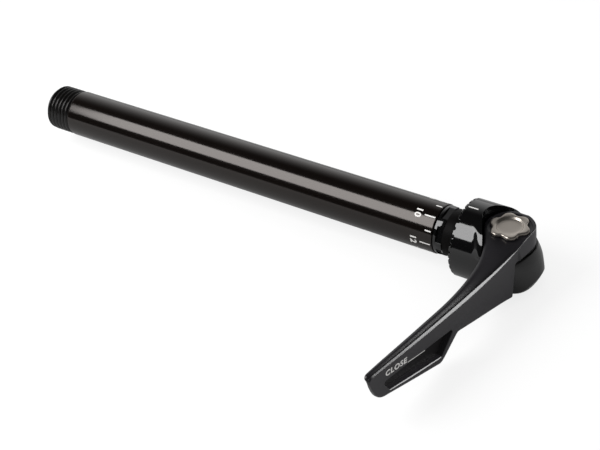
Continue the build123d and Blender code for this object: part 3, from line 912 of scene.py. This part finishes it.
def lobed_end():
    """The cam shaft's lobed end with its raised rim and dish, over the key, the journals and the cam."""
    count, lobe_depth, lobe_power, cam_r = 144, 1.05, 1.35, 3

    def circle(radius, height):
        plan = arc((0, PIN_Y), radius, [360 * k / count for k in range(count)])
        return [at(x, y, height) for x, y in plan]

    def lobe(inset, height):
        ring = []
        for k in range(count):
            a = 2 * math.pi * k / count
            wave = 0.5 + 0.5 * math.cos(LOBES * a)
            r = LOBE_R - lobe_depth * wave**lobe_power - inset
            ring.append(at(r * math.cos(a), PIN_Y + r * math.sin(a), height))
        return ring

    sides = [
        (0.25, 8.0), (0.06, 8.06), (0.0, 8.2), (0.0, 8.62), (0.06, 8.8), (0.2, 8.93), (0.38, 8.99), (0.55, 9.0),
    ]
    dish = [
        (4.2, 8.98), (4.05, 8.93), (3.9, 8.8), (3.62, 8.5), (3.5, 8.42), (3.3, 8.37), (2.4, 8.34), (1.2, 8.33),
        (0.3, 8.33),
    ]
    rings = [circle(3.6, DISH_Z)] + [lobe(inset, z) for inset, z in sides] + [circle(r, z) for r, z in dish]
    disc = lofted("cam_shaft_lobed", rings)
    shaft = [
        (0, 8.1), (4.1, 8.1), (4.15, ARM_Z), (4.2, TONGUE_HIGH), (2.3, TONGUE_HIGH), (2.3, -10.35), (1.8, -10.36),
        (1.8, -10.85), (2.3, -10.86), (2.3, -10.95), (2.05, -11.2), (0, -11.2),
    ]
    stem = turned_upright("cam_stem", shaft, steps=64)
    cam = [(0, TONGUE_LOW), (cam_r, TONGUE_LOW), (cam_r, TONGUE_HIGH), (0, TONGUE_HIGH)]
    disc = joined("cam_shaft_lobed", [disc, stem, turned_upright("cam", cam, steps=64, y=CAM_Y)])
    smoothed(disc, angle=35)
    return disc


def staged(name, data, place, across, upward, back):
    """Puts a camera or a lamp into the scene, looking away from its back."""
    made = bpy.data.objects.new(name, data)
    made.matrix_world = Matrix.Translation(place) @ Matrix((across, upward, back)).transposed().to_4x4()
    bpy.context.scene.collection.objects.link(made)
    return made


def stage_camera():
    """The camera of the photograph."""
    azimuth = math.radians(VIEW_AZIMUTH)
    elevation = math.radians(VIEW_ELEVATION)
    roll = math.radians(VIEW_ROLL)
    flat = Vector((math.sin(azimuth), -math.cos(azimuth), 0))
    back = flat * math.cos(elevation) + Vector((0, 0, math.sin(elevation)))
    right = Vector((math.cos(azimuth), math.sin(azimuth), 0))
    up = back.cross(right)
    place = VIEW_ORIGIN + back * VIEW_DISTANCE + right * VIEW_SHIFT_RIGHT + up * VIEW_SHIFT_UP
    across = right * math.cos(roll) + up * math.sin(roll)
    upward = up * math.cos(roll) - right * math.sin(roll)
    lens = bpy.data.cameras.new("camera")
    lens.lens = VIEW_LENS
    lens.sensor_width = VIEW_SENSOR
    bpy.context.scene.camera = staged("camera", lens, place, across, upward, back)


def stage_world():
    """White to the camera, an even fill as light, and in gloss a sweep that is bright on the far side."""
    world = bpy.data.worlds.new("studio")
    bpy.context.scene.world = world
    shader = Shader(world)

    def glow(strength):
        return shader.node("ShaderNodeBackground", None, {"Color": WHITE, "Strength": strength})

    camera_ray = shader.node("ShaderNodeLightPath", out="Is Camera Ray")
    glossy_ray = shader.node("ShaderNodeLightPath", out="Is Glossy Ray")
    toward = shader.node("ShaderNodeTexCoord", out="Generated")
    far_side = shader.node(
        "ShaderNodeVectorMath", {"operation": "DOT_PRODUCT"}, {0: toward, 1: SWEEP_WAY}, out="Value"
    )
    sweep = shader.node(
        "ShaderNodeMapRange",
        {"interpolation_type": "SMOOTHSTEP"},
        {"Value": far_side, "From Min": SWEEP_START, "From Max": SWEEP_END, "To Min": SWEEP_DARK, "To Max": 1.0},
    )
    light = shader.surface_between(glossy_ray, glow(WORLD_FILL), glow(sweep))
    shown = shader.surface_between(camera_ray, light, glow(1.0))
    shader.node("ShaderNodeOutputWorld", None, {"Surface": shown})


def stage_floor():
    """A floor under the part: dull for the light, and nearly white with a soft shadow for the camera."""
    fresh()
    bpy.ops.mesh.primitive_plane_add(size=FLOOR_SIZE, location=(0, 0, cad_box[0].z))
    floor = bpy.context.object
    floor.name = "floor"
    material = bpy.data.materials.new("floor_white")
    shader = Shader(material)
    camera_ray = shader.node("ShaderNodeLightPath", out="Is Camera Ray")
    dull = (FLOOR_COLOUR, FLOOR_COLOUR, FLOOR_COLOUR, 1)
    bright = (FLOOR_SHOWN, FLOOR_SHOWN, FLOOR_SHOWN, 1)
    tone = shader.colour_between(camera_ray, dull, bright)
    paper = shader.node("ShaderNodeBsdfDiffuse", None, {"Color": tone})
    white = shader.node("ShaderNodeEmission", None, {"Color": WHITE, "Strength": 1.0})
    shown = shader.surface_between(camera_ray * (1 - SHADOW_SHARE), paper, white)
    shader.node("ShaderNodeOutputMaterial", None, {"Surface": shown})
    floor.data.materials.append(material)


def area_lamp(name, length, width, power):
    """A rectangular lamp."""
    lamp = bpy.data.lights.new(name, "AREA")
    lamp.shape = "RECTANGLE"
    lamp.size = length
    lamp.size_y = width
    lamp.energy = power
    return lamp


def stage_light(lever):
    """The soft box that draws the strip along the tube, and the edge box, which lights the lever alone."""
    along = Vector((0, 1, 0))
    angle = math.radians(BOX_ANGLE)
    outward = Vector((-math.cos(angle), 0, math.sin(angle)))
    place = Vector((0, BOX_Y, 0)) + outward * BOX_REACH
    width = 2 * BOX_REACH * math.tan(math.radians(BOX_SPREAD))
    lamp = area_lamp("soft_box", BOX_LENGTH, width, BOX_POWER)
    staged("soft_box", lamp, place, along, outward.cross(along), outward)

    outward = EDGE_BOX_WAY.normalized()
    upward = (along - outward * along.dot(outward)).normalized()
    place = EDGE_BOX_AIM + outward * EDGE_BOX_REACH
    lamp = area_lamp("edge_box", EDGE_BOX_LENGTH, EDGE_BOX_WIDTH, EDGE_BOX_POWER)
    edge_box = staged("edge_box", lamp, place, upward.cross(outward), upward, outward)
    edge_lit = bpy.data.collections.new("edge_lit")
    edge_lit.objects.link(lever)
    edge_box.light_linking.receiver_collection = edge_lit


def coated(name, colour, roughness, grain, grain_scale, metallic=0.0, specular=0.5, tint=(1, 1, 1)):
    """A finish with fine grain in its gloss, its tone and its surface."""
    broad_scale, tone_swing, relief_strength, relief_depth = 60.0, 0.2, 0.05, 0.00002
    material = bpy.data.materials.new(name)
    shader = Shader(material)
    place = shader.node("ShaderNodeTexCoord", out="Object")
    stretched = shader.node("ShaderNodeMapping", None, {"Vector": place, "Scale": grain_scale})
    fine = shader.node("ShaderNodeTexNoise", None, {"Vector": stretched, "Scale": 1.0, "Detail": 3.0})
    broad = shader.node("ShaderNodeTexNoise", None, {"Vector": place, "Scale": broad_scale, "Detail": 2.0})
    dark = tuple((1 - tone_swing) * c for c in colour) + (1,)
    light = tuple((1 + tone_swing) * c for c in colour) + (1,)
    tone = shader.colour_between(broad, dark, light)
    gloss = roughness + (fine - 0.5) * grain + (broad - 0.5) * (0.5 * grain)
    relief = shader.node(
        "ShaderNodeBump", None, {"Strength": relief_strength, "Distance": relief_depth, "Height": fine}
    )
    surface = shader.node(
        "ShaderNodeBsdfPrincipled",
        None,
        {
            "Base Color": tone,
            "Roughness": gloss,
            "Metallic": metallic,
            "Specular IOR Level": specular,
            "Specular Tint": tint + (1,),
            "Normal": relief,
        },
    )
    shader.node("ShaderNodeOutputMaterial", None, {"Surface": surface})
    return material


# Finishes: colour, roughness, swing of the grain and its scale along each axis
black_anodised = coated(
    "black_anodised", (0.0034, 0.0024, 0.0020), 0.13, 0.05, (300, 9000, 300), tint=(1, 0.93, 0.89)
)
# The stem: a real dark matte anodising, with its reflection cut almost to nothing as painted shade, so the neck
# shows as dark as the shade under the head's rim
dark_anodised = coated("dark_anodised", (0.0024, 0.0021, 0.0020), 0.5, 0.1, (400, 6000, 400), specular=0.06)
gloss_black = coated("gloss_black", (0.0026, 0.0026, 0.0027), 0.08, 0.03, (900, 900, 900), specular=0.66)
satin_black = coated("satin_black", (0.0082, 0.0076, 0.0090), 0.29, 0.06, (9000, 9000, 9000), specular=0.44)
window_black = coated("window_black", (0.0022, 0.0020, 0.0022), 0.42, 0.10, (3000, 3000, 3000), specular=0.08)
thread_black = coated("thread_black", (0.0034, 0.0030, 0.0028), 0.30, 0.10, (2500, 2500, 2500))
# White for the print, and also for the painted highlight along the lever's window rim
white_print_and_highlight = coated("white_print_and_highlight", (0.74, 0.73, 0.71), 0.42, 0.10, (5000, 5000, 5000))
nickel = coated("nickel", (0.47, 0.43, 0.385), 0.36, 0.10, (3000, 3000, 3000), metallic=1.0)

# The finish of each slot in the record
FINISHES = {
    "black_anodised": black_anodised,
    "dark_anodised": dark_anodised,
    "gloss_black": gloss_black,
    "satin_black": satin_black,
    "nickel_steel": nickel,
    "steel": coated("steel", (0.50, 0.49, 0.47), 0.34, 0.14, (900, 5000, 900), metallic=1.0),
    "spring_steel": coated("spring_steel", (0.21, 0.205, 0.21), 0.38, 0.16, (1500, 1500, 1500), metallic=1.0),
    "bronze": coated("bronze", (0.42, 0.25, 0.10), 0.42, 0.16, (2500, 2500, 2500), metallic=1.0),
    "rubber": coated("rubber", (0.011, 0.011, 0.011), 0.72, 0.12, (6000, 6000, 6000)),
    "bearing_plastic": coated("bearing_plastic", (0.0055, 0.0055, 0.0055), 0.55, 0.12, (5000, 5000, 5000)),
}

slots = {row["node"]: row["material_slot"] for row in frame["record"]["subparts"]}
for name, node in frame["nodes"].items():
    node.data.materials.clear()
    node.data.materials.append(FINISHES[slots[name]])

dressed(round_tube(), black_anodised, "black_anodised", "axle", "axle_tube")
dressed(end_thread(), thread_black, "black_anodised", "axle")
dressed(pocketed_ring(), gloss_black, "black_anodised", "index", "index_ring")
dressed(drawn_stem(), dark_anodised, "dark_anodised", "index", "draw_stem")
dressed(domed_head(), gloss_black, "gloss_black", "head", "head_housing")
lever = lever_blade()
dressed(lever, satin_black, "satin_black", "lever", "lever")
darken_window(lever, window_black)
dressed(joined("tube_scale", scale_marks()), white_print_and_highlight, "black_anodised", "axle")
dressed(head_tick(), white_print_and_highlight, "gloss_black", "head")
# The lever's print, the word CLOSE, and the painted highlight strip along the window's upper rim
dressed(joined("lever_print_and_highlight", lever_word()), white_print_and_highlight, "satin_black", "lever")
dressed(lobed_end(), nickel, "nickel_steel", "lever", "cam_shaft")

stage_camera()
stage_world()
stage_floor()
stage_light(lever)
bpy.context.scene.view_settings.view_transform = "Standard"
